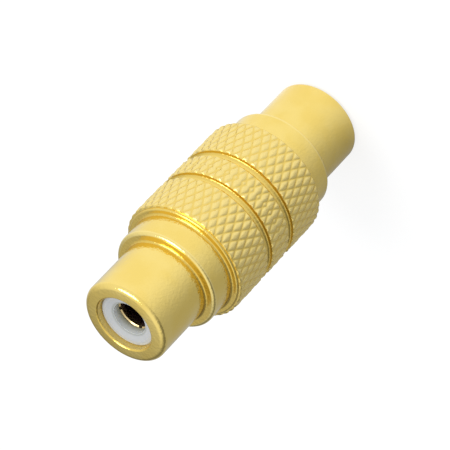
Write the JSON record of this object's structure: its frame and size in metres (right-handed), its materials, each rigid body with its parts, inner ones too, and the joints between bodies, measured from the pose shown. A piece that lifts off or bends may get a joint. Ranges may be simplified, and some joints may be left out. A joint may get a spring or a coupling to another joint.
{
  "type": "rca coupler",
  "caption": "Straight double-ended socket coupler: a plug's ring grips each smooth round end, and its pin enters the socket inside; the middle is knurled.",
  "frame": {"origin": "centre of the lower end, on the surface that the coupler stands on", "axes": "+Z along the common axis, up to the other end; X and Y across it, midway between the saw cuts of the contact"},
  "size_m": [0.012, 0.012, 0.0304],
  "materials": {
    "shell": "bright gold plating on turned brass",
    "insulator": "white moulded, satin",
    "contact": "gold plating on turned brass"
  },
  "bodies": {
    "root": {"shell": "shell", "upper_insulator": "insulator", "lower_insulator": "insulator", "centre_contact": "contact"}
  },
  "joints": []
}
